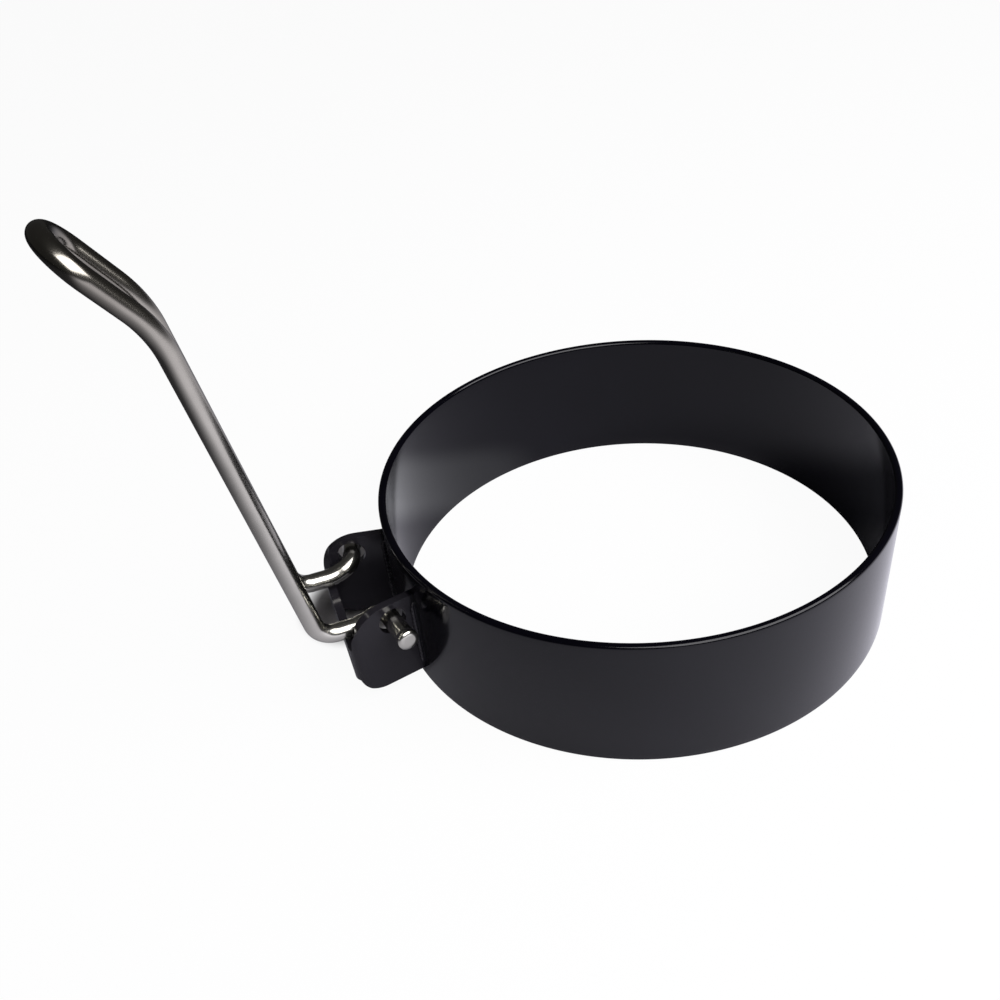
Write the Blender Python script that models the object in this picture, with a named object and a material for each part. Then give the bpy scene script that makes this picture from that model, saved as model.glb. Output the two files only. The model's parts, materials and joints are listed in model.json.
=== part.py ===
"""Egg ring: a round band, a folded hinge bracket and a fold-down wire handle.

Metres, +Z up. The band stands on z = 0. The bracket and the handle point along -X.
The origin is the middle of the whole part's box, at its bottom. In the functions below,
u is the distance outward from the band's upright axis along -X, v runs along +Y, and z is up.
"""
import math

import bmesh
import bpy
from mathutils import Matrix, Vector

# Clearance between pieces that touch, and how far cutters run past what they cut
PIECE_GAP = 0.0003
CUT_OVERRUN = 0.002

# Ring band: a rolled strip with a rounded rim, on which the egg is fried
BAND_DIAMETER = 0.076
BAND_HEIGHT = 0.0212
BAND_WALL = 0.00115
RIM_ROUNDING = 0.0005
FOOT_ROUNDING = 0.0002

# Hinge bracket: one folded strip of sheet, whose two ears lie on planes through the band's axis
SHEET = 0.0012
EAR_SPLAY = math.radians(12.33)
EAR_LIFT = 0.00235
EAR_HEIGHT = 0.0141
EAR_TOP_CORNER = 0.0060
EAR_FOOT_CORNER = 0.0042
BRACKET_REACH = 0.0093
WEB_ABOVE_EAR_FOOT = 0.0026
WEB_CORNER = 0.0008
BEND_INSIDE = 0.0004
BEND_RELIEF = 0.00025

# Hinge axis: its distance from the band's outside and below the ears' top edge, and the small
# turn about the upright by which its left end stands further from the band than its right end
PIVOT_STANDOFF = 0.0035
PIVOT_BELOW_EAR_TOP = 0.00295
PIVOT_TURN = math.radians(6)
HOLE_CLEARANCE = 0.0005

# Handle: one bent length of round wire, whose runs dip below the hinge axis onto the web
WIRE_DIAMETER = 0.0027
RUN_LENGTH = 0.00975
DIP_FROM_AXIS = 0.0040
DIP_DEPTH = 0.0012
CORNER_DEPTH = 0.0007
LEG_LENGTH = 0.0488
LEG_TILT = math.radians(8.55)
GRIP_LENGTH = 0.0133
GRIP_TILT = math.radians(34.6)
CORNER_SPACING = 0.0120
NECK_SPACING = 0.0085
LOOP_SPACING = 0.0090
ELBOW_BEND = 0.0020
DIP_BEND = 0.0060
CORNER_BEND = 0.0032
NECK_BEND = 0.0151

# Wire ends: how far each stands out of its ear, and how its cut end is spread
RIGHT_END_STAND = 0.0050
LEFT_END_STAND = 0.0018
HEAD_SPREAD = 0.0002
HEAD_LENGTH = 0.0009
# Along the head from its outer face, as shares of its length, and its radius there as shares
HEAD_SHARES = ((0.0, 0.84), (0.1, 0.95), (0.25, 1.0), (0.55, 1.0))

# Weld beads in the corners where the ears meet the band
WELD_LEG = 0.0008
WELD_END_INSET = 0.0012
WELD_TOE_SHARE = 0.2

# Fineness of round shapes
BAND_STEPS = 96
HOLE_STEPS = 32
ARC_STEP = math.radians(11.25)
SMALL_ARC_STEP = math.radians(30)
SMALL_RADIUS = 0.0018
LOOP_STEPS = 18
WIRE_BEVEL_RESOLUTION = 6
SHARP_EDGE = math.radians(40)

# Sizes that follow from the ones above
BAND_RADIUS = BAND_DIAMETER / 2
WIRE_RADIUS = WIRE_DIAMETER / 2
HOLE_RADIUS = WIRE_RADIUS + HOLE_CLEARANCE
HEAD_RADIUS = WIRE_RADIUS + HEAD_SPREAD
EAR_TOP = EAR_LIFT + EAR_HEIGHT
PIVOT_U = BAND_RADIUS + PIVOT_STANDOFF
PIVOT_Z = EAR_TOP - PIVOT_BELOW_EAR_TOP
WEB_OUTSIDE_U = BAND_RADIUS + BRACKET_REACH
WEB_INSIDE_U = WEB_OUTSIDE_U - SHEET
CORNER_U = PIVOT_U + RUN_LENGTH
NECK_U = CORNER_U + LEG_LENGTH * math.sin(LEG_TILT)
LOOP_RADIUS = LOOP_SPACING / 2
LOOP_CENTRE_U = NECK_U + (GRIP_LENGTH - LOOP_RADIUS) * math.sin(GRIP_TILT)
LOOP_LEAN_SHARE = math.hypot(math.cos(PIVOT_TURN) * math.sin(GRIP_TILT), math.sin(PIVOT_TURN))
LOOP_CENTRE_REACH = PIVOT_U + (LOOP_CENTRE_U - PIVOT_U) * math.cos(PIVOT_TURN)
HANDLE_REACH = LOOP_CENTRE_REACH + LOOP_RADIUS * LOOP_LEAN_SHARE + WIRE_RADIUS
BAND_AXIS_X = (HANDLE_REACH - BAND_RADIUS) / 2


def make_material(name, colour, roughness, metallic, coat):
    """A Principled material of one finish."""
    material = bpy.data.materials.new(name)
    material.use_nodes = True
    shader = material.node_tree.nodes["Principled BSDF"]
    shader.inputs["Base Color"].default_value = colour
    shader.inputs["Roughness"].default_value = roughness
    shader.inputs["Metallic"].default_value = metallic
    shader.inputs["Coat Weight"].default_value = coat
    return material


def add_mesh_object(name, bm, material):
    """Turn a bmesh into a named object with outward normals and smooth round faces."""
    bmesh.ops.recalc_face_normals(bm, faces=bm.faces)
    mesh = bpy.data.meshes.new(name)
    bm.to_mesh(mesh)
    bm.free()
    mesh.shade_smooth()
    mesh.set_sharp_from_angle(angle=SHARP_EDGE)
    mesh.materials.append(material)
    obj = bpy.data.objects.new(name, mesh)
    bpy.context.scene.collection.objects.link(obj)
    return obj


def arc_between(start, end, centre):
    """Points of the short arc from start to end round centre, both included."""
    first = start - centre
    last = end - centre
    sweep = first.angle(last)
    step = ARC_STEP if first.length > SMALL_RADIUS else SMALL_ARC_STEP
    count = max(2, math.ceil(sweep / step))
    points = []
    for index in range(count + 1):
        along = index / count
        before = math.sin((1 - along) * sweep)
        after = math.sin(along * sweep)
        points.append(centre + (first * before + last * after) / math.sin(sweep))
    return points


def round_corner(before, corner, after, radius):
    """Points that replace a corner of a line by an arc of the given radius."""
    if radius == 0:
        return [corner]
    back = (before - corner).normalized()
    ahead = (after - corner).normalized()
    half = back.angle(ahead) / 2
    cut = radius / math.tan(half)
    centre = corner + (back + ahead).normalized() * (radius / math.sin(half))
    return arc_between(corner + back * cut, corner + ahead * cut, centre)


def rounded_outline(corners):
    """A closed outline from (point, corner radius) pairs."""
    points = []
    count = len(corners)
    for index, (corner, radius) in enumerate(corners):
        before = corners[index - 1][0]
        after = corners[(index + 1) % count][0]
        points += round_corner(before, corner, after, radius)
    return points


def extruded(points, sweep):
    """A closed prism: the flat outline, moved along the sweep vector."""
    bm = bmesh.new()
    face = bm.faces.new([bm.verts.new(point) for point in points])
    result = bmesh.ops.extrude_face_region(bm, geom=[face])
    moved = [item for item in result["geom"] if isinstance(item, bmesh.types.BMVert)]
    bmesh.ops.translate(bm, verts=moved, vec=sweep)
    return bm


def place(u, v, z):
    """A point from its distances outward from the band's axis, along +Y and up."""
    return Vector((BAND_AXIS_X - u, v, z))


def add_cutter(name, bm):
    """An object that only shapes another one."""
    bmesh.ops.recalc_face_normals(bm, faces=bm.faces)
    mesh = bpy.data.meshes.new(name)
    bm.to_mesh(mesh)
    bm.free()
    cutter = bpy.data.objects.new(name, mesh)
    bpy.context.scene.collection.objects.link(cutter)
    cutter.hide_render = True
    cutter.display_type = "WIRE"
    return cutter


def cut(obj, cutter, operation):
    """Add an exact Boolean to an object."""
    modifier = obj.modifiers.new(cutter.name, "BOOLEAN")
    modifier.operation = operation
    modifier.object = cutter
    modifier.solver = "EXACT"


def make_ring_band(material):
    """The band's wall section, turned once round the upright axis."""
    inside = BAND_RADIUS - BAND_WALL
    section = rounded_outline((
        (Vector((BAND_RADIUS, 0, 0)), FOOT_ROUNDING),
        (Vector((BAND_RADIUS, 0, BAND_HEIGHT)), RIM_ROUNDING),
        (Vector((inside, 0, BAND_HEIGHT)), RIM_ROUNDING),
        (Vector((inside, 0, 0)), FOOT_ROUNDING),
    ))
    bm = bmesh.new()
    verts = [bm.verts.new(point) for point in section]
    edges = [bm.edges.new((verts[index - 1], vert)) for index, vert in enumerate(verts)]
    bmesh.ops.spin(
        bm,
        geom=verts + edges,
        cent=Vector((0, 0, 0)),
        axis=Vector((0, 0, 1)),
        angle=math.tau,
        steps=BAND_STEPS,
        use_merge=True,
    )
    band = add_mesh_object("ring_band", bm, material)
    band.location = (BAND_AXIS_X, 0, 0)
    return band


def ear_face_point(along, depth, side):
    """A point on an ear in plan: along from the band's axis, depth inward from its outer face."""
    u = along * math.cos(EAR_SPLAY) + depth * math.sin(EAR_SPLAY)
    v = along * math.sin(EAR_SPLAY) - depth * math.cos(EAR_SPLAY)
    return u, side * v


def bracket_plan():
    """The folded strip seen from above: ear, bend, web, bend, ear, one sheet thick."""
    root = BAND_RADIUS + PIECE_GAP
    outer_corner_v = WEB_OUTSIDE_U * math.tan(EAR_SPLAY)
    inner_corner_v = WEB_INSIDE_U * math.tan(EAR_SPLAY) - SHEET / math.cos(EAR_SPLAY)
    outside_bend = BEND_INSIDE + SHEET
    corners = (
        (ear_face_point(root, 0, 1), 0),
        ((WEB_OUTSIDE_U, outer_corner_v), outside_bend),
        ((WEB_OUTSIDE_U, -outer_corner_v), outside_bend),
        (ear_face_point(root, 0, -1), 0),
        (ear_face_point(root, SHEET, -1), 0),
        ((WEB_INSIDE_U, -inner_corner_v), BEND_INSIDE),
        ((WEB_INSIDE_U, inner_corner_v), BEND_INSIDE),
        (ear_face_point(root, SHEET, 1), 0),
    )
    return rounded_outline([(place(u, v, EAR_LIFT), radius) for (u, v), radius in corners])


def bracket_side():
    """The bracket seen from the side: both ears and the web end in two large round corners."""
    inside = BAND_RADIUS - CUT_OVERRUN
    corners = (
        ((inside, EAR_LIFT), 0),
        ((WEB_OUTSIDE_U, EAR_LIFT), EAR_FOOT_CORNER),
        ((WEB_OUTSIDE_U, EAR_TOP), EAR_TOP_CORNER),
        ((inside, EAR_TOP), 0),
    )
    past_ears = WEB_OUTSIDE_U * math.tan(EAR_SPLAY) + CUT_OVERRUN
    outline = [(place(u, -past_ears, z), radius) for (u, z), radius in corners]
    return extruded(rounded_outline(outline), Vector((0, 2 * past_ears, 0)))


def web_notch(edge_z, far_z):
    """What is cut off the web between its two bends, from its edge at edge_z out to far_z."""
    inner_corner_v = WEB_INSIDE_U * math.tan(EAR_SPLAY) - SHEET / math.cos(EAR_SPLAY)
    half = inner_corner_v - BEND_INSIDE - BEND_RELIEF
    start_u = WEB_INSIDE_U - BEND_INSIDE
    corners = (
        (place(start_u, -half, edge_z), WEB_CORNER),
        (place(start_u, half, edge_z), WEB_CORNER),
        (place(start_u, half, far_z), 0),
        (place(start_u, -half, far_z), 0),
    )
    depth = WEB_OUTSIDE_U + CUT_OVERRUN - start_u
    return extruded(rounded_outline(corners), Vector((-depth, 0, 0)))


def make_hinge_bracket(material):
    """The folded strip, trimmed to its side outline and drilled for the wire's ends."""
    height = Vector((0, 0, EAR_HEIGHT))
    # The strip stands a little proud of its side outline, which trims it
    strip = extruded(bracket_plan(), height + Vector((0, 0, CUT_OVERRUN)))
    below = Vector((0, 0, -CUT_OVERRUN))
    low = [vert for vert in strip.verts if vert.co.z < EAR_TOP - EAR_HEIGHT / 2]
    bmesh.ops.translate(strip, verts=low, vec=below)
    bracket = add_mesh_object("hinge_bracket", strip, material)
    cut(bracket, add_cutter("bracket_outline_cutter", bracket_side()), "INTERSECT")
    web_top = PIVOT_Z - DIP_DEPTH - WIRE_RADIUS - PIECE_GAP
    top_notch = web_notch(web_top, EAR_TOP + CUT_OVERRUN)
    cut(bracket, add_cutter("web_top_cutter", top_notch), "DIFFERENCE")
    foot_notch = web_notch(EAR_LIFT + WEB_ABOVE_EAR_FOOT, EAR_LIFT - CUT_OVERRUN)
    cut(bracket, add_cutter("web_foot_cutter", foot_notch), "DIFFERENCE")

    drill = bmesh.new()
    length = 2 * (WEB_OUTSIDE_U * math.tan(EAR_SPLAY) + CUT_OVERRUN)
    bmesh.ops.create_cone(
        drill,
        cap_ends=True,
        segments=HOLE_STEPS,
        radius1=HOLE_RADIUS,
        radius2=HOLE_RADIUS,
        depth=length,
    )
    cutter = add_cutter("pivot_hole_cutter", drill)
    cutter.location = place(PIVOT_U, 0, PIVOT_Z)
    cutter.rotation_euler = (math.radians(90), 0, PIVOT_TURN)
    cut(bracket, cutter, "DIFFERENCE")
    return bracket


def make_weld_bead(name, side, outside, material):
    """A bead along the upright corner between one ear and the band, outside or in the channel."""
    root = BAND_RADIUS + PIECE_GAP
    depth = -PIECE_GAP if outside else SHEET + PIECE_GAP
    away = -1 if outside else 1
    toe = WELD_LEG * WELD_TOE_SHARE
    section = ((0, 0), (WELD_LEG, 0), (WELD_LEG, toe), (toe, WELD_LEG), (0, WELD_LEG))
    foot = EAR_LIFT + WELD_END_INSET
    points = []
    for outward, sideways in section:
        u, v = ear_face_point(root + outward, depth + away * sideways, side)
        points.append(place(u, v, foot))
    length = EAR_HEIGHT - 2 * WELD_END_INSET
    return add_mesh_object(name, extruded(points, Vector((0, 0, length))), material)


def ear_slant(side):
    """Angle in plan between the hinge axis and the line that stands square to one ear."""
    return EAR_SPLAY + side * PIVOT_TURN


def ear_middle(side):
    """Distance along the hinge axis from its middle to the middle of one ear's sheet."""
    straight = PIVOT_U * math.sin(EAR_SPLAY) - SHEET / 2
    return straight / math.cos(ear_slant(side))


def half_wire(side, end_stand):
    """One half of the wire's centre line, from its end to where the loop begins.

    The handle's own u and v are used, which are turned with the hinge axis afterwards. The end
    stands square to its ear, and the elbow brings it round into the run.
    """
    reach = SHEET / 2 + end_stand
    slant = ear_slant(side)
    half = CORNER_SPACING / 2
    end_v = ear_middle(side) + reach * math.cos(slant)
    elbow_u = PIVOT_U + (ear_middle(side) - half) * math.tan(slant)
    corner_z = PIVOT_Z - CORNER_DEPTH
    neck_z = corner_z + LEG_LENGTH * math.cos(LEG_TILT)
    line = [
        place(PIVOT_U - reach * math.sin(slant), side * end_v, PIVOT_Z),
        place(elbow_u, side * half, PIVOT_Z),
        place(PIVOT_U + DIP_FROM_AXIS, side * half, PIVOT_Z - DIP_DEPTH),
        place(CORNER_U, side * half, corner_z),
        place(NECK_U, side * NECK_SPACING / 2, neck_z),
        loop_point(loop_start_angle(), side),
    ]
    bends = (ELBOW_BEND, DIP_BEND, CORNER_BEND, NECK_BEND)
    points = [line[0]]
    for index, bend in enumerate(bends, start=1):
        points += round_corner(line[index - 1], line[index], line[index + 1], bend)
    return points


def loop_start_angle():
    """Angle from the tip, round the loop, where the grip's side runs into it without a kink."""
    back = GRIP_LENGTH - LOOP_RADIUS
    out = NECK_SPACING / 2
    return math.atan2(out, -back) - math.acos(LOOP_RADIUS / math.hypot(back, out))


def loop_point(angle, side=1):
    """A point of the half-round loop at the top of the handle."""
    along = GRIP_LENGTH - LOOP_RADIUS + LOOP_RADIUS * math.cos(angle)
    u = NECK_U + along * math.sin(GRIP_TILT)
    neck_z = PIVOT_Z - CORNER_DEPTH + LEG_LENGTH * math.cos(LEG_TILT)
    z = neck_z + along * math.cos(GRIP_TILT)
    return place(u, side * LOOP_RADIUS * math.sin(angle), z)


def with_head(points):
    """Put the head's stations before the second point, and give each point its radius share."""
    outer_face, inward = points[0], (points[1] - points[0]).normalized()
    head = HEAD_RADIUS / WIRE_RADIUS
    stations = [(outer_face + inward * (HEAD_LENGTH * far), head * wide) for far, wide in HEAD_SHARES]
    stations.append((outer_face + inward * HEAD_LENGTH, 1))
    return stations + [(point, 1) for point in points[1:]]


def make_handle_wire(material):
    """Round wire along the handle's centre line, turned with the hinge axis round its middle."""
    start = loop_start_angle()
    angles = [start * (1 - 2 * index / LOOP_STEPS) for index in range(LOOP_STEPS + 1)]
    left = with_head(half_wire(1, LEFT_END_STAND))
    right = with_head(half_wire(-1, RIGHT_END_STAND))
    loop = [(loop_point(angle), 1) for angle in angles]
    stations = left + loop + right[::-1]
    origin = place(PIVOT_U, 0, PIVOT_Z)
    turn = Matrix.Rotation(PIVOT_TURN, 3, "Z")

    curve = bpy.data.curves.new("handle_wire", "CURVE")
    curve.dimensions = "3D"
    curve.bevel_depth = WIRE_RADIUS
    curve.bevel_resolution = WIRE_BEVEL_RESOLUTION
    curve.use_fill_caps = True
    spline = curve.splines.new("POLY")
    spline.points.add(len(stations) - 1)
    for point, (centre, share) in zip(spline.points, stations):
        point.co = (*(turn @ (centre - origin)), 1)
        point.radius = share
    curve.materials.append(material)
    handle = bpy.data.objects.new("handle_wire", curve)
    handle.location = origin
    bpy.context.scene.collection.objects.link(handle)
    return handle


def main():
    """Clear the scene and make every piece."""
    for obj in list(bpy.data.objects):
        bpy.data.objects.remove(obj, do_unlink=True)

    enamel = make_material("black_enamel", (0.022, 0.022, 0.026, 1), 0.22, 0, 0.6)
    bright_wire = make_material("bright_wire", (0.62, 0.61, 0.59, 1), 0.2, 1, 0)

    make_ring_band(enamel)
    make_hinge_bracket(enamel)
    make_weld_bead("left_outer_weld", 1, True, enamel)
    make_weld_bead("left_inner_weld", 1, False, enamel)
    make_weld_bead("right_outer_weld", -1, True, enamel)
    make_weld_bead("right_inner_weld", -1, False, enamel)
    make_handle_wire(bright_wire)


main()
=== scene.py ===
import json
import math

import bmesh
import bpy
import numpy as np
from mathutils import Matrix, Vector


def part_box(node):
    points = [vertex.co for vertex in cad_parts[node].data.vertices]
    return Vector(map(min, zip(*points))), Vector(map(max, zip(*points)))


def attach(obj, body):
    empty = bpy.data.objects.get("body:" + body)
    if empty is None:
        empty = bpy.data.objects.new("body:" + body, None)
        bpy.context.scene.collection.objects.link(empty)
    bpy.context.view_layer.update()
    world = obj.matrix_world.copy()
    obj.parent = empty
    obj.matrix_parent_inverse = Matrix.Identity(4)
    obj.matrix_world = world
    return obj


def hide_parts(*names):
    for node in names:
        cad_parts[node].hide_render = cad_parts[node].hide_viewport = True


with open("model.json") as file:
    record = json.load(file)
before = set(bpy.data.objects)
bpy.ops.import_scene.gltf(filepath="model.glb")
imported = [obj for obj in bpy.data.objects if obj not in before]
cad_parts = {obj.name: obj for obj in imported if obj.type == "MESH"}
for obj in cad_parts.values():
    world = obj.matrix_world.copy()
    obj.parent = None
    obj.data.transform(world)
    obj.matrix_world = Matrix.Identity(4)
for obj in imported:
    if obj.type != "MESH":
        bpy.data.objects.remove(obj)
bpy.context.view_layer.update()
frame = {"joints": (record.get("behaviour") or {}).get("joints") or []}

# Units: metres and radians
MM = 0.001
DEG = math.pi / 180

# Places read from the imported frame
BAND_LOW, BAND_HIGH = (np.array(corner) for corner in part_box("ring_band"))
BRACKET_LOW, BRACKET_HIGH = (np.array(corner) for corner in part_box("hinge_bracket"))
AXIS_X = (BAND_LOW[0] + BAND_HIGH[0]) / 2
BAND_RADIUS = (BAND_HIGH[0] - BAND_LOW[0]) / 2
BAND_HEIGHT = BAND_HIGH[2]
HINGE_X, HINGE_Y, HINGE_Z = frame["joints"][0]["pos_m"]
PIVOT_U = AXIS_X - HINGE_X

# Ring band
BAND_WALL = 1.15 * MM
RIM_ROUNDING = 0.5 * MM
FOOT_ROUNDING = 0.25 * MM

# Hinge bracket
SHEET = 1.2 * MM
EAR_SPLAY = 12.33 * DEG
EAR_FOOT_Z = BRACKET_LOW[2]
EAR_TOP_Z = BRACKET_HIGH[2]
EAR_TOP_CORNER = 6.0 * MM
EAR_FOOT_CORNER = 4.2 * MM
WEB_U = AXIS_X - BRACKET_LOW[0]
WEB_FOOT_Z = EAR_FOOT_Z + 2.6 * MM
WEB_TOP_Z = 10.65 * MM
BEND_OUTSIDE = 1.6 * MM
HOLE_RADIUS = 2.05 * MM
SUNK_IN_BAND = 0.15 * MM
SHEET_EDGE_ROUNDING = 0.32 * MM

# Weld beads
BEAD_SIZE = 1.0 * MM
FINE_RIPPLE = 0.75 * MM
LONG_RIPPLE = 2.3 * MM

# Handle wire, whose hinge axis is turned a little about the upright
PIVOT_TURN = 6 * DEG
WIRE_RADIUS = 1.335 * MM
RUN_LENGTH = 9.75 * MM
DIP_FROM_AXIS = 4.0 * MM
DIP_DEPTH = 1.2 * MM
CORNER_DEPTH = 0.7 * MM
LEG_LENGTH = 48.8 * MM
LEG_TILT = 8.55 * DEG
GRIP_LENGTH = 13.3 * MM
GRIP_TILT = 34.6 * DEG
CORNER_SPACING = 12.0 * MM
NECK_SPACING = 8.5 * MM
LOOP_SPACING = 9.0 * MM
ELBOW_BEND = 2.0 * MM
DIP_BEND = 6.0 * MM
CORNER_BEND = 3.2 * MM
NECK_BEND = 15.1 * MM
RIGHT_END_STAND = 5.0 * MM
LEFT_END_STAND = 1.8 * MM
HEAD_RADIUS = 1.53 * MM
HEAD_LENGTH = 0.9 * MM
HEAD_CROWN_SHARE = 0.3
HEAD_FACE_SHARE = 0.62


# Meshes from arrays of points


def grid_faces(rows, columns, rows_closed, columns_closed):
    """Corner numbers of the four-sided faces between neighbours of a rows by columns grid."""
    row = np.arange(rows if rows_closed else rows - 1)
    column = np.arange(columns if columns_closed else columns - 1)
    row, column = np.meshgrid(row, column, indexing="ij")
    next_row = (row + 1) % rows
    next_column = (column + 1) % columns
    corners = (
        row * columns + column,
        next_row * columns + column,
        next_row * columns + next_column,
        row * columns + next_column,
    )
    return np.stack(corners, axis=-1).reshape(-1, 4)


def mesh_from_grids(name, grids, weld_distance=1e-7):
    """A smooth mesh from several grids, joined where their points meet.

    Each grid is (points, rows_closed, columns_closed), with points of shape rows x columns x 3.
    """
    points, faces, first = [], [], 0
    for grid, rows_closed, columns_closed in grids:
        rows, columns, _ = grid.shape
        points.append(grid.reshape(-1, 3))
        faces.append(grid_faces(rows, columns, rows_closed, columns_closed) + first)
        first += rows * columns
    points = np.concatenate(points)
    faces = np.concatenate(faces)
    mesh = bpy.data.meshes.new(name)
    mesh.vertices.add(len(points))
    mesh.vertices.foreach_set("co", points.astype(np.float32).ravel())
    mesh.loops.add(faces.size)
    mesh.loops.foreach_set("vertex_index", faces.astype(np.int32).ravel())
    mesh.polygons.add(len(faces))
    mesh.polygons.foreach_set("loop_start", np.arange(0, faces.size, 4, dtype=np.int32))
    mesh.update(calc_edges=True)
    bm = bmesh.new()
    bm.from_mesh(mesh)
    bmesh.ops.remove_doubles(bm, verts=bm.verts, dist=weld_distance)
    bmesh.ops.recalc_face_normals(bm, faces=bm.faces)
    bm.to_mesh(mesh)
    bm.free()
    mesh.shade_smooth()
    return mesh


def add_piece(name, mesh, material, body, node):
    """Put a mesh into the scene as a piece that stands for a CAD node and rides on its body."""
    mesh.materials.append(material)
    piece = bpy.data.objects.new(name, mesh)
    bpy.context.scene.collection.objects.link(piece)
    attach(piece, body)
    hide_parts(node)
    return piece


def arc(centre, radius, start, end, count):
    """Points of a flat arc: centre plus radius times cosine and sine of evenly spaced angles."""
    angles = np.linspace(start, end, count)
    return np.stack([centre[0] + radius * np.cos(angles), centre[1] + radius * np.sin(angles)], axis=-1)


def straight(start, end, count):
    """Evenly spaced points of a straight line, both ends included."""
    share = np.linspace(0, 1, count)[:, None]
    return (1 - share) * np.array(start) + share * np.array(end)


def place(u, v, z):
    """World points from distances outward from the band's axis, along +Y and up."""
    return np.stack(np.broadcast_arrays(AXIS_X - u, v, z), axis=-1)


# The ring band


def band_section():
    """The wall's closed outline as (radius, height): two faces joined by rounded rim and foot."""
    outer, inner = BAND_RADIUS, BAND_RADIUS - BAND_WALL
    rim, foot = RIM_ROUNDING, FOOT_ROUNDING
    top, corner, side = BAND_HEIGHT, 14, 24
    parts = (
        straight((outer, foot), (outer, top - rim), side),
        arc((outer - rim, top - rim), rim, 0, math.pi / 2, corner)[1:],
        arc((inner + rim, top - rim), rim, math.pi / 2, math.pi, corner),
        straight((inner, top - rim), (inner, foot), side)[1:],
        arc((inner + foot, foot), foot, math.pi, 1.5 * math.pi, corner)[1:],
        arc((outer - foot, foot), foot, 1.5 * math.pi, math.tau, corner)[:-1],
    )
    return np.concatenate(parts)


def ring_band_mesh():
    """The wall section turned round the upright axis, once round in even steps."""
    section = band_section()
    turn = np.linspace(0, math.tau, 720, endpoint=False)[:, None]
    radius, height = section[None, :, 0], section[None, :, 1]
    points = place(radius * np.cos(turn), radius * np.sin(turn), height + 0 * turn)
    return mesh_from_grids("ring_band_surface", [(points, True, True)])


# The hinge bracket, laid out flat and then folded


def folded(flat):
    """Bend the flat strip round its two bends.

    The first number is the distance along the strip from the web's middle, on its outer face. It
    runs straight along the web, turns round the bend at a fixed radius, then runs straight along the ear.
    """
    along, z = np.abs(flat[..., 0]), flat[..., 1]
    side = np.sign(flat[..., 0])
    turned = np.clip((along - WEB_HALF) / BEND_OUTSIDE, 0, BEND_TURN)
    on_web = np.minimum(along, WEB_HALF)
    on_ear = np.maximum(along - WEB_HALF - BEND_OUTSIDE * BEND_TURN, 0)
    v = on_web + BEND_OUTSIDE * np.sin(turned) - on_ear * math.sin(EAR_SPLAY)
    u = WEB_U - BEND_OUTSIDE * (1 - np.cos(turned)) - on_ear * math.cos(EAR_SPLAY)
    return place(u, side * v, z)


BEND_TURN = math.pi / 2 + EAR_SPLAY
BEND_TANGENT = BEND_OUTSIDE * math.tan(BEND_TURN / 2)
WEB_HALF = WEB_U * math.tan(EAR_SPLAY) - BEND_TANGENT
EAR_START = WEB_HALF + BEND_OUTSIDE * BEND_TURN
EAR_TIP_RADIUS = WEB_U / math.cos(EAR_SPLAY) - BEND_TANGENT


def strip_distance(radial):
    """Distance along the flat strip of a place on an ear, from its distance to the band's axis."""
    return EAR_START + EAR_TIP_RADIUS - radial


TOP_CORNER_AT = (WEB_U - EAR_TOP_CORNER) / math.cos(EAR_SPLAY)
FOOT_CORNER_AT = (WEB_U - EAR_FOOT_CORNER) / math.cos(EAR_SPLAY)
EAR_ROOT_AT = BAND_RADIUS - SUNK_IN_BAND


def top_height(radial):
    """Height of the strip's top edge: level on the ear, round past its corner, level on the web."""
    past = np.clip(radial - TOP_CORNER_AT, 0, EAR_TOP_CORNER)
    rounded = EAR_TOP_Z - EAR_TOP_CORNER + np.sqrt(EAR_TOP_CORNER**2 - past**2)
    return np.maximum(rounded, WEB_TOP_Z)


def foot_height(radial):
    """Height of the strip's lower edge: level on the ear, round past its corner, level on the web."""
    past = np.clip(radial - FOOT_CORNER_AT, 0, EAR_FOOT_CORNER)
    rounded = EAR_FOOT_Z + EAR_FOOT_CORNER - np.sqrt(EAR_FOOT_CORNER**2 - past**2)
    return np.minimum(rounded, WEB_FOOT_Z)


def ear_outline(rows):
    """The ear's flat outline, once round: root, lower edge, the bend's line, top edge."""
    start = EAR_TIP_RADIUS
    root = straight((EAR_ROOT_AT, EAR_TOP_Z), (EAR_ROOT_AT, EAR_FOOT_Z), 24)[:-1]
    foot_r = np.linspace(EAR_ROOT_AT, start, 34)
    foot = np.stack([foot_r, foot_height(foot_r)], axis=-1)[:-1]
    bend = straight((start, foot_height(start)), (start, top_height(start)), rows)[:-1]
    top_r = np.linspace(start, EAR_ROOT_AT, 34)
    top = np.stack([top_r, top_height(top_r)], axis=-1)[:-1]
    return np.concatenate([root, foot, bend, top])


def ear_slant(side):
    """Angle in plan between the hinge axis and the line that stands square to one ear."""
    return EAR_SPLAY + side * PIVOT_TURN


def ear_middle(side):
    """Distance along the hinge axis from its middle to the middle of one ear's sheet."""
    return (PIVOT_U * math.sin(EAR_SPLAY) - SHEET / 2) / math.cos(ear_slant(side))


def ear_grid(rows, side):
    """The ear with its hole: each outline point runs straight in to the hole's edge."""
    hole_at = PIVOT_U * math.cos(EAR_SPLAY) + ear_middle(side) * math.sin(ear_slant(side))
    centre = np.array([hole_at, HINGE_Z])
    outline = ear_outline(rows)
    spoke = outline - centre
    rim = centre + spoke / np.linalg.norm(spoke, axis=-1, keepdims=True) * HOLE_RADIUS
    share = np.linspace(0, 1, 14)[:, None, None]
    points = (1 - share) * rim[None] + share * outline[None]
    return np.stack([strip_distance(points[..., 0]), points[..., 1]], axis=-1)


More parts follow.
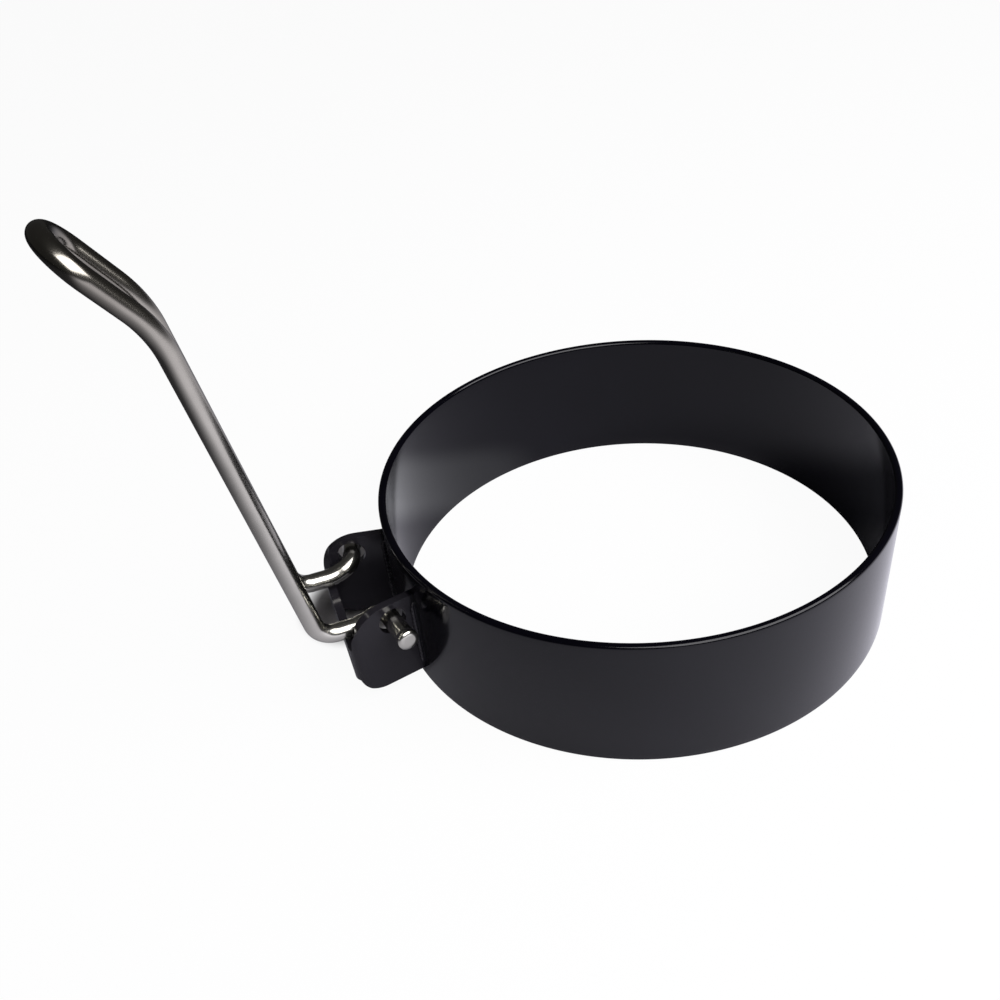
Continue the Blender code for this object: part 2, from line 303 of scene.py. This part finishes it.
def web_grid(rows):
    """Both bends and the web between them, with rows from the lower edge to the top edge."""
    corner_top = TOP_CORNER_AT + math.sqrt(
        EAR_TOP_CORNER**2 - (WEB_TOP_Z - EAR_TOP_Z + EAR_TOP_CORNER) ** 2
    )
    corner_foot = FOOT_CORNER_AT + math.sqrt(
        EAR_FOOT_CORNER**2 - (EAR_FOOT_Z + EAR_FOOT_CORNER - WEB_FOOT_Z) ** 2
    )
    stops = sorted([strip_distance(corner_top), strip_distance(corner_foot)], reverse=True)
    bend = np.concatenate([
        np.linspace(EAR_START, stops[0], 12)[:-1],
        np.linspace(stops[0], stops[1], 3)[:-1],
        np.linspace(stops[1], WEB_HALF, 8)[:-1],
    ])
    along = np.concatenate([bend, np.linspace(WEB_HALF, -WEB_HALF, 30)[:-1], [-WEB_HALF], -bend[::-1]])
    radial = EAR_TIP_RADIUS + EAR_START - np.abs(along)
    low, high = foot_height(radial), top_height(radial)
    share = np.linspace(0, 1, rows)[:, None]
    return np.stack([np.broadcast_to(along, (rows, len(along))), (1 - share) * low + share * high], axis=-1)


def hinge_bracket_mesh():
    """The folded strip's outer face: two ears with holes, and the bends and web between them."""
    rows = 26
    other = ear_grid(rows, -1) * np.array([-1, 1])
    grids = [
        (folded(ear_grid(rows, 1)), False, True),
        (folded(web_grid(rows)), False, False),
        (folded(other)[:, ::-1], False, True),
    ]
    return mesh_from_grids("hinge_bracket_surface", grids, weld_distance=1e-6)


def give_thickness(piece, thickness, rounding):
    """Thicken a sheet inward from its outer face and round its edges."""
    wall = piece.modifiers.new("sheet thickness", "SOLIDIFY")
    wall.thickness = thickness
    wall.offset = -1
    wall.use_even_offset = True
    edge = piece.modifiers.new("rounded edges", "BEVEL")
    edge.width = rounding
    edge.segments = 4
    edge.limit_method = "ANGLE"
    edge.angle_limit = 50 * DEG
    edge.harden_normals = True


# The weld beads


def weld_mesh(name, side, outside):
    """A bead up the corner between an ear and the band: a hollow fillet whose size swells in ripples."""
    low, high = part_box(name)
    rows, columns = 160, 22
    share = np.linspace(0, 1, rows)[:, None]
    z = low[2] + (high[2] - low[2]) * share
    ends = np.sqrt(np.clip(1 - np.abs(2 * share - 1) ** 14, 0, 1))
    fine = 0.07 * np.sin(z / FINE_RIPPLE * math.tau)
    long = 0.05 * np.sin(z / LONG_RIPPLE * math.tau + 1)
    size = BEAD_SIZE * ends * (1 + fine + long)
    turn = np.linspace(0, math.tau, columns, endpoint=False)[None, :]
    # A rounded triangle with its right angle sunk into the corner
    reach = 0.5 + 0.5 * np.cos(turn) ** 2
    outward = size * (0.2 + 0.52 * np.cos(turn) * reach)
    sideways = size * (0.2 + 0.52 * np.sin(turn) * reach)
    depth = 0 if outside else SHEET
    away = -1 if outside else 1
    along = BAND_RADIUS + outward
    into = depth + away * sideways
    u = along * math.cos(EAR_SPLAY) + into * math.sin(EAR_SPLAY)
    v = along * math.sin(EAR_SPLAY) - into * math.cos(EAR_SPLAY)
    points = place(u, side * v, z + 0 * u)
    return mesh_from_grids(name + "_surface", [(points, False, True)])


# The handle wire


def rounded_path(corners, bends):
    """A line through the corners, with each inner corner replaced by an arc of its own radius."""
    pieces = [corners[0][None]]
    for before, corner, after, radius in zip(corners, corners[1:], corners[2:], bends):
        back = (before - corner) / np.linalg.norm(before - corner)
        ahead = (after - corner) / np.linalg.norm(after - corner)
        half = math.acos(float(back @ ahead)) / 2
        middle = back + ahead
        centre = corner + middle / np.linalg.norm(middle) * radius / math.sin(half)
        first = corner + back * radius / math.tan(half) - centre
        last = corner + ahead * radius / math.tan(half) - centre
        sweep = math.pi - 2 * half
        share = np.linspace(0, 1, 60)[:, None]
        bend = (first * np.sin((1 - share) * sweep) + last * np.sin(share * sweep)) / math.sin(sweep)
        pieces.append(centre + bend)
    pieces.append(corners[-1][None])
    return np.concatenate(pieces)


def half_path(side, end_stand):
    """Half of the wire's middle line, from its end to the tip of the loop, drawn toward +Y."""
    reach = SHEET / 2 + end_stand
    slant = ear_slant(side)
    corner_u = PIVOT_U + RUN_LENGTH
    corner_z = HINGE_Z - CORNER_DEPTH
    neck_u = corner_u + LEG_LENGTH * math.sin(LEG_TILT)
    neck_z = corner_z + LEG_LENGTH * math.cos(LEG_TILT)
    radius = LOOP_SPACING / 2
    back = GRIP_LENGTH - radius
    out = NECK_SPACING / 2
    start = math.atan2(out, -back) - math.acos(radius / math.hypot(back, out))
    angle = np.linspace(start, 0, 80)
    along = back + radius * np.cos(angle)
    loop_u = neck_u + along * math.sin(GRIP_TILT)
    loop_z = neck_z + along * math.cos(GRIP_TILT)
    loop = place(loop_u, radius * np.sin(angle), loop_z)
    half = CORNER_SPACING / 2
    end_v = ear_middle(side) + reach * math.cos(slant)
    elbow_u = PIVOT_U + (ear_middle(side) - half) * math.tan(slant)
    stops = [
        place(PIVOT_U - reach * math.sin(slant), end_v, HINGE_Z),
        place(elbow_u, half, HINGE_Z),
        place(PIVOT_U + DIP_FROM_AXIS, half, HINGE_Z - DIP_DEPTH),
        place(corner_u, half, corner_z),
        place(neck_u, out, neck_z),
        loop[0],
    ]
    line = rounded_path(stops, (ELBOW_BEND, DIP_BEND, CORNER_BEND, NECK_BEND))
    return np.concatenate([line, loop[1:]])


def evenly(points, step):
    """The same line with its points a fixed distance apart, and their distances from its start."""
    lengths = np.linalg.norm(np.diff(points, axis=0), axis=-1)
    distance = np.concatenate([[0], np.cumsum(lengths)])
    wanted = np.linspace(0, distance[-1], int(distance[-1] / step) + 1)
    even = np.stack([np.interp(wanted, distance, points[:, axis]) for axis in range(3)], axis=-1)
    return even, wanted


def upward_side(points):
    """For each point of a half path, the direction square to it and to +Y, smoothed along the path."""
    heading = np.gradient(points, axis=0)
    side = np.stack([heading[:, 2], 0 * heading[:, 2], -heading[:, 0]], axis=-1)
    plane = np.array([math.cos(GRIP_TILT), 0, math.sin(GRIP_TILT)])
    weak = np.linalg.norm(side, axis=-1) < 0.12 * np.linalg.norm(heading, axis=-1)
    side[weak & (points[:, 2] > HINGE_Z + LEG_LENGTH / 2)] = plane
    return side / np.linalg.norm(side, axis=-1, keepdims=True)


def wire_radius(distance, total):
    """The wire's radius along its length: round wire, with a hammered head at each end.

    Each head swells over its length, and its outer edge is rounded off by a quarter circle.
    """
    from_end = np.minimum(distance, total - distance) / HEAD_LENGTH
    head = np.clip(1.25 - from_end, 0, 1) ** 0.5
    crown = np.sqrt(np.clip(1 - (1 - np.clip(from_end / HEAD_CROWN_SHARE, 0, 1)) ** 2, 0, 1))
    swell = WIRE_RADIUS + (HEAD_RADIUS - WIRE_RADIUS) * np.clip(head * 1.2, 0, 1)
    return swell * (HEAD_FACE_SHARE + (1 - HEAD_FACE_SHARE) * crown)


def handle_wire_mesh():
    """A round tube along the wire's middle line, closed at both ends by the flat of the heads.

    It is drawn square to the bracket and then turned with the hinge axis round its middle.
    """
    left, _ = evenly(half_path(1, LEFT_END_STAND), 0.2 * MM)
    right, _ = evenly(half_path(-1, RIGHT_END_STAND), 0.2 * MM)
    up = np.concatenate([upward_side(left), upward_side(right)[-2::-1]])
    right = right * np.array([1, -1, 1])
    path = np.concatenate([left, right[-2::-1]])
    heading = np.gradient(path, axis=0)
    heading /= np.linalg.norm(heading, axis=-1, keepdims=True)
    up -= (up * heading).sum(-1, keepdims=True) * heading
    up /= np.linalg.norm(up, axis=-1, keepdims=True)
    across = np.cross(heading, up)
    lengths = np.linalg.norm(np.diff(path, axis=0), axis=-1)
    distance = np.concatenate([[0], np.cumsum(lengths)])
    turn = np.linspace(0, math.tau, 48, endpoint=False)[None, :, None]
    radius = wire_radius(distance, distance[-1])[:, None, None]
    tube = path[:, None] + radius * (np.cos(turn) * up[:, None] + np.sin(turn) * across[:, None])
    inward = np.linspace(0, 1, 7)[:, None, None]
    first = (1 - inward) * path[0] + inward * tube[0]
    last = (1 - inward) * tube[-1] + inward * path[-1]
    tube = np.concatenate([first[:-1], tube, last[1:]])
    middle = np.array([HINGE_X, HINGE_Y, HINGE_Z])
    turn = np.array(Matrix.Rotation(PIVOT_TURN, 3, "Z"))
    tube = middle + (tube - middle) @ turn.T
    return mesh_from_grids("handle_wire_surface", [(tube, False, True)])


# The finishes

# Each pair of colours is the darkest and the palest of its patches
BAND_BLACKS = ((0.0007, 0.0006, 0.0018), (0.0014, 0.0013, 0.0030))
# The bracket's blacks are paler than the band's: painted light standing in for the reflections on its faces
BRACKET_BLACKS_PAINTED_LIGHTER = ((0.0125, 0.0115, 0.0145), (0.0165, 0.0155, 0.019))
LOWER_WIRE_GREYS = ((0.62, 0.608, 0.55), (0.74, 0.725, 0.655))
# Darker greys toward the loop: painted shade for the darker things the wire reflects there
LOOP_GREYS_PAINTED_DARKER = ((0.235, 0.22, 0.19), (0.315, 0.298, 0.258))
WIRE_PAINTED_DARKER_FROM, WIRE_PAINTED_DARKER_TO = 12 * MM, 66 * MM
ENAMEL_IOR = 1.35


def shader_of(name):
    """A new material, its node tree and its Principled shader."""
    material = bpy.data.materials.new(name)
    material.use_nodes = True
    return material, material.node_tree, material.node_tree.nodes["Principled BSDF"]


def two_colours(tree, pattern, low, high, low_at, high_at):
    """A colour ramp between two colours, driven by a noise pattern."""
    ramp = tree.nodes.new("ShaderNodeValToRGB")
    ramp.color_ramp.elements[0].position = low_at
    ramp.color_ramp.elements[0].color = (*low, 1)
    ramp.color_ramp.elements[1].position = high_at
    ramp.color_ramp.elements[1].color = (*high, 1)
    tree.links.new(pattern.outputs["Fac"], ramp.inputs["Fac"])
    return ramp


def mixed_colour(tree, factor, first, second):
    """A mix node between two colours, each given as a socket or as a fixed colour."""
    mix = tree.nodes.new("ShaderNodeMix")
    mix.data_type = "RGBA"
    tree.links.new(factor, mix.inputs["Factor"])
    for name, value in (("A", first), ("B", second)):
        if isinstance(value, tuple):
            mix.inputs[name].default_value = (*value, 1)
        else:
            tree.links.new(value, mix.inputs[name])
    return mix.outputs["Result"]


def enamel_finish():
    """Glossy black coating: near black on the band, a little greyer on the bracket, a paler black painted
    on to stand in for the light its faces reflect.
    """
    material, tree, shader = shader_of("black_enamel_finish")
    nodes, links = tree.nodes, tree.links
    where = nodes.new("ShaderNodeTexCoord")
    patches = nodes.new("ShaderNodeTexNoise")
    patches.inputs["Scale"].default_value = 90
    patches.inputs["Detail"].default_value = 3
    links.new(where.outputs["Object"], patches.inputs["Vector"])
    colour = two_colours(tree, patches, *BAND_BLACKS, 0.3, 0.7)
    # Paler black on the bracket and the outer part of the beads: painted light for the reflections on its
    # faces
    painted_lighter_black = two_colours(tree, patches, *BRACKET_BLACKS_PAINTED_LIGHTER, 0.3, 0.7)
    outward = nodes.new("ShaderNodeVectorMath")
    outward.operation = "DISTANCE"
    outward.inputs[1].default_value = (AXIS_X, 0, 0)
    level = nodes.new("ShaderNodeVectorMath")
    level.operation = "MULTIPLY"
    level.inputs[1].default_value = (1, 1, 0)
    links.new(where.outputs["Object"], level.inputs[0])
    links.new(level.outputs["Vector"], outward.inputs[0])
    beyond = nodes.new("ShaderNodeMapRange")
    beyond.inputs["From Min"].default_value = BAND_RADIUS + 0.2 * MM
    beyond.inputs["From Max"].default_value = BAND_RADIUS + 0.6 * MM
    links.new(outward.outputs["Value"], beyond.inputs["Value"])
    both = mixed_colour(tree, beyond.outputs["Result"], colour.outputs["Color"], painted_lighter_black.outputs["Color"])
    links.new(both, shader.inputs["Base Color"])
    gloss = nodes.new("ShaderNodeMapRange")
    gloss.inputs["To Min"].default_value = 0.1
    gloss.inputs["To Max"].default_value = 0.16
    links.new(patches.outputs["Fac"], gloss.inputs["Value"])
    links.new(gloss.outputs["Result"], shader.inputs["Roughness"])
    ripple = nodes.new("ShaderNodeTexNoise")
    ripple.inputs["Scale"].default_value = 420
    ripple.inputs["Detail"].default_value = 1
    links.new(where.outputs["Object"], ripple.inputs["Vector"])
    bump = nodes.new("ShaderNodeBump")
    bump.inputs["Strength"].default_value = 0.12
    bump.inputs["Distance"].default_value = 0.02 * MM
    links.new(ripple.outputs["Fac"], bump.inputs["Height"])
    links.new(bump.outputs["Normal"], shader.inputs["Normal"])
    shader.inputs["IOR"].default_value = ENAMEL_IOR
    return material


def wire_finish():
    """Bright drawn wire: grey metal with warm stains, painted darker toward the loop to stand in for the
    darker things it reflects there.
    """
    material, tree, shader = shader_of("bright_wire_finish")
    nodes, links = tree.nodes, tree.links
    where = nodes.new("ShaderNodeTexCoord")
    stains = nodes.new("ShaderNodeTexNoise")
    stains.inputs["Scale"].default_value = 130
    stains.inputs["Detail"].default_value = 3
    links.new(where.outputs["Object"], stains.inputs["Vector"])
    bright = two_colours(tree, stains, *LOWER_WIRE_GREYS, 0.3, 0.65)
    painted_darker_loop = two_colours(tree, stains, *LOOP_GREYS_PAINTED_DARKER, 0.3, 0.65)
    parts = nodes.new("ShaderNodeSeparateXYZ")
    links.new(where.outputs["Object"], parts.inputs["Vector"])
    # The wire is painted darker with height, standing in for darker reflections at the loop
    upward = nodes.new("ShaderNodeMapRange")
    upward.inputs["From Min"].default_value = WIRE_PAINTED_DARKER_FROM
    upward.inputs["From Max"].default_value = WIRE_PAINTED_DARKER_TO
    links.new(parts.outputs["Z"], upward.inputs["Value"])
    colour = mixed_colour(tree, upward.outputs["Result"], bright.outputs["Color"], painted_darker_loop.outputs["Color"])
    links.new(colour, shader.inputs["Base Color"])
    gloss = nodes.new("ShaderNodeMapRange")
    gloss.inputs["To Min"].default_value = 0.17
    gloss.inputs["To Max"].default_value = 0.26
    links.new(stains.outputs["Fac"], gloss.inputs["Value"])
    links.new(gloss.outputs["Result"], shader.inputs["Roughness"])
    shader.inputs["Metallic"].default_value = 1
    return material


# The setting: floor, light and camera

# Round patches on the floor, each with its middle, its reach and the soft distance round it: the
# bracket's painted shadow, which runs back from under it to behind its left ear, the painted glow of the
# light thrown by the band, the painted shade that dims the floor inside the ring, and the painted shade in
# the corner on its far side
UNDER_BRACKET = ((-28 * MM, 12.5 * MM, 0), 6.8 * MM, 4.2 * MM)
UNDER_EAR = ((-27.3 * MM, 19.5 * MM, 0), 3 * MM, 3 * MM)
BEHIND_EAR = ((-26.4 * MM, 25.8 * MM, 0), 2.5 * MM, 1.8 * MM)
THROWN_LIGHT = ((1 * MM, 31 * MM, 0), 5 * MM, 8 * MM)
SHADE_INSIDE_RING = ((AXIS_X, 0, 0), 33 * MM, 4 * MM)
SHADED_CORNER = ((52 * MM, 5 * MM, 0), 6 * MM, 14 * MM)

# Floor: size, the direction in which its reflected colour brightens as a painted fall of light, and its
# colours
FLOOR_HALF_SIDE = 4
FLOOR_DROP = 0.02 * MM
BRIGHTER_TOWARD = (0.9, -0.44, 0)
FADE_FROM, FADE_TO = -0.1, 0.035
SEEN_FLOOR = (0.8, 0.8, 0.8)
# Colour of the painted shadow under the bracket that the camera sees
SEEN_SHADE = (0.26, 0.25, 0.25)
SEEN_WHITENESS = 0.95
SHADED_SIDE = (0.060, 0.060, 0.066)
LIT_SIDE = (0.77, 0.765, 0.83)
SHADE_INSIDE_RING_COLOUR = (0.54, 0.535, 0.59)
SHADED_CORNER_COLOUR = (0.13, 0.13, 0.15)
THROWN_COLOUR = (0.95, 0.97, 1, 1)
THROWN_STRENGTH = 0.6


def spot_mask(tree, where, centre, reach, soft):
    """A round mask on the floor: 1 within reach of the centre, fading to 0 over the soft distance."""
    away = tree.nodes.new("ShaderNodeVectorMath")
    away.operation = "DISTANCE"
    away.inputs[1].default_value = centre
    tree.links.new(where.outputs["Object"], away.inputs[0])
    mask = tree.nodes.new("ShaderNodeMapRange")
    mask.interpolation_type = "SMOOTHSTEP"
    mask.inputs["From Min"].default_value = reach
    mask.inputs["From Max"].default_value = reach + soft
    mask.inputs["To Min"].default_value = 1
    mask.inputs["To Max"].default_value = 0
    tree.links.new(away.outputs["Value"], mask.inputs["Value"])
    return mask.outputs["Result"]


def calculated(tree, operation, first, second):
    """The result of a sum on two values, each given as a socket or as a fixed number."""
    sum_node = tree.nodes.new("ShaderNodeMath")
    sum_node.operation = operation
    for index, value in enumerate((first, second)):
        if isinstance(value, (int, float)):
            sum_node.inputs[index].default_value = value
        else:
            tree.links.new(value, sum_node.inputs[index])
    return sum_node.outputs["Value"]


def add_floor():
    """A wide pale floor: an even grid in the level plane, a hair below the ring.

    The camera sees it nearly white, with small grey painted shadows at the bracket. Reflections see it
    with painted shade, dimmer to the left and in the ring, and with a painted glow of the light that the
    band throws onto it.
    """
    side = np.linspace(-FLOOR_HALF_SIDE, FLOOR_HALF_SIDE, 9)
    x, y = np.meshgrid(side, side, indexing="ij")
    points = np.stack([x, y, 0 * x - FLOOR_DROP], axis=-1)
    mesh = mesh_from_grids("floor_surface", [(points, False, False)])
    material, tree, shader = shader_of("pale_floor")
    shader.inputs["Roughness"].default_value = 0.9
    shader.inputs["Specular IOR Level"].default_value = 0
    nodes, links = tree.nodes, tree.links
    where = nodes.new("ShaderNodeTexCoord")
    along = nodes.new("ShaderNodeVectorMath")
    along.operation = "DOT_PRODUCT"
    along.inputs[1].default_value = BRIGHTER_TOWARD
    links.new(where.outputs["Object"], along.inputs[0])
    fade = nodes.new("ShaderNodeMapRange")
    fade.inputs["From Min"].default_value = FADE_FROM
    fade.inputs["From Max"].default_value = FADE_TO
    links.new(along.outputs["Value"], fade.inputs["Value"])
    path = nodes.new("ShaderNodeLightPath")
    camera_ray = path.outputs["Is Camera Ray"]
    # The floor that reflections see is painted with shade: dark on the left, lit toward the right front,
    # dimmer inside the ring and in a corner
    painted_reflected_floor = mixed_colour(tree, fade.outputs["Result"], SHADED_SIDE, LIT_SIDE)
    ring_shade = spot_mask(tree, where, *SHADE_INSIDE_RING)
    painted_reflected_floor = mixed_colour(tree, ring_shade, painted_reflected_floor, SHADE_INSIDE_RING_COLOUR)
    # Painted shade in the corner beyond the ring, which reflections see
    corner = spot_mask(tree, where, *SHADED_CORNER)
    painted_reflected_floor = mixed_colour(tree, corner, painted_reflected_floor, SHADED_CORNER_COLOUR)
    # Painted shadow of the bracket on the floor, which the camera sees
    under_bracket = spot_mask(tree, where, *UNDER_BRACKET)
    under_ear = spot_mask(tree, where, *UNDER_EAR)
    behind_ear = spot_mask(tree, where, *BEHIND_EAR)
    at_ear = calculated(tree, "MAXIMUM", under_ear, behind_ear)
    shade = calculated(tree, "MAXIMUM", under_bracket, at_ear)
    seen = mixed_colour(tree, shade, SEEN_FLOOR, SEEN_SHADE)
    links.new(mixed_colour(tree, camera_ray, painted_reflected_floor, seen), shader.inputs["Base Color"])
    # A glowing patch on the floor, only for reflections: painted light for the light the band throws
    thrown = spot_mask(tree, where, *THROWN_LIGHT)
    reflected = calculated(tree, "SUBTRACT", 1, camera_ray)
    full_strength = calculated(tree, "MULTIPLY", thrown, THROWN_STRENGTH)
    strength = calculated(tree, "MULTIPLY", full_strength, reflected)
    shader.inputs["Emission Color"].default_value = THROWN_COLOUR
    links.new(strength, shader.inputs["Emission Strength"])
    unshaded = calculated(tree, "SUBTRACT", 1, shade)
    full_whiteness = calculated(tree, "MULTIPLY", camera_ray, SEEN_WHITENESS)
    whiteness = calculated(tree, "MULTIPLY", full_whiteness, unshaded)
    glow = nodes.new("ShaderNodeEmission")
    mix = nodes.new("ShaderNodeMixShader")
    links.new(whiteness, mix.inputs["Fac"])
    links.new(shader.outputs["BSDF"], mix.inputs[1])
    links.new(glow.outputs["Emission"], mix.inputs[2])
    links.new(mix.outputs["Shader"], nodes["Material Output"].inputs["Surface"])
    mesh.materials.append(material)
    floor = bpy.data.objects.new("floor", mesh)
    bpy.context.scene.collection.objects.link(floor)


# One soft lamp, to the front right of the ring
LAMP_AT = (AXIS_X + 0.136, -0.256, 0.357)
LAMP_SIZE = (0.62, 0.36)
LAMP_POWER = 4.1
LAMP_COLOUR = (0.98, 0.97, 1)


def add_softbox(name, place_at, aim_at, size, power, colour):
    """An oblong area light that faces a point."""
    light = bpy.data.lights.new(name, "AREA")
    light.shape = "RECTANGLE"
    light.size, light.size_y = size
    light.energy = power
    light.color = colour
    lamp = bpy.data.objects.new(name, light)
    lamp.location = place_at
    aim = Vector(aim_at) - Vector(place_at)
    lamp.rotation_euler = aim.to_track_quat("-Z", "Y").to_euler()
    bpy.context.scene.collection.objects.link(lamp)


# The room's colour as light falls from it, and as shiny faces mirror it
ROOM_LIGHT = (0.008, 0.008, 0.010)
ROOM_MIRRORED = (0.035, 0.034, 0.034)


def add_world():
    """A white surround for the camera, a dim room for light, and a paler one for reflections."""
    world = bpy.data.worlds.new("studio")
    bpy.context.scene.world = world
    world.use_nodes = True
    nodes, links = world.node_tree.nodes, world.node_tree.links
    path = nodes.new("ShaderNodeLightPath")
    mix = nodes.new("ShaderNodeMixShader")
    room = nodes["Background"]
    glossy_ray = path.outputs["Is Glossy Ray"]
    links.new(mixed_colour(world.node_tree, glossy_ray, ROOM_LIGHT, ROOM_MIRRORED), room.inputs["Color"])
    white = nodes.new("ShaderNodeBackground")
    white.inputs["Color"].default_value = (1, 1, 1, 1)
    links.new(path.outputs["Is Camera Ray"], mix.inputs["Fac"])
    links.new(room.outputs["Background"], mix.inputs[1])
    links.new(white.outputs["Background"], mix.inputs[2])
    links.new(mix.outputs["Shader"], nodes["World Output"].inputs["Surface"])


# The camera, as fitted to the ring's rim and foot in the photograph
CAMERA_FROM_AXIS = (-51.60 * MM, -117.55 * MM, 111.84 * MM)
CAMERA_HEADING = 16.40 * DEG
CAMERA_DROP = 40.60 * DEG
CAMERA_ROLL = -5.96 * DEG
FOCAL_SHARE = 1.0545
SHIFT = (-0.0338, 0.0714)


def add_camera():
    """A camera at the photograph's viewing angle: heading from +Y toward +X, drop below level, roll."""
    data = bpy.data.cameras.new("photo_camera")
    data.sensor_width = 36
    data.lens = FOCAL_SHARE * data.sensor_width
    data.shift_x, data.shift_y = SHIFT
    data.clip_start = 1 * MM
    camera = bpy.data.objects.new("photo_camera", data)
    turn = Matrix.Rotation(-CAMERA_HEADING, 4, "Z") @ Matrix.Rotation(math.pi / 2 - CAMERA_DROP, 4, "X")
    turn = turn @ Matrix.Rotation(CAMERA_ROLL, 4, "Z")
    spot = Vector(CAMERA_FROM_AXIS) + Vector((AXIS_X, 0, 0))
    camera.matrix_world = Matrix.Translation(spot) @ turn
    bpy.context.scene.collection.objects.link(camera)
    bpy.context.scene.camera = camera


# Making it all

enamel = enamel_finish()
bright_wire = wire_finish()

add_piece("band", ring_band_mesh(), enamel, "ring", "ring_band")
bracket = add_piece("bracket", hinge_bracket_mesh(), enamel, "ring", "hinge_bracket")
give_thickness(bracket, SHEET, SHEET_EDGE_ROUNDING)
for side_name, side in (("left", 1), ("right", -1)):
    for face_name, outside in (("outer", True), ("inner", False)):
        node = f"{side_name}_{face_name}_weld"
        bead_mesh = weld_mesh(node, side, outside)
        add_piece(f"{side_name}_{face_name}_bead", bead_mesh, enamel, "ring", node)
add_piece("wire", handle_wire_mesh(), bright_wire, "handle", "handle_wire")

add_floor()
add_world()
add_softbox("front_right", LAMP_AT, (AXIS_X, 0, 0), LAMP_SIZE, LAMP_POWER, LAMP_COLOUR)
add_camera()

scene = bpy.context.scene
scene.view_settings.view_transform = "Standard"
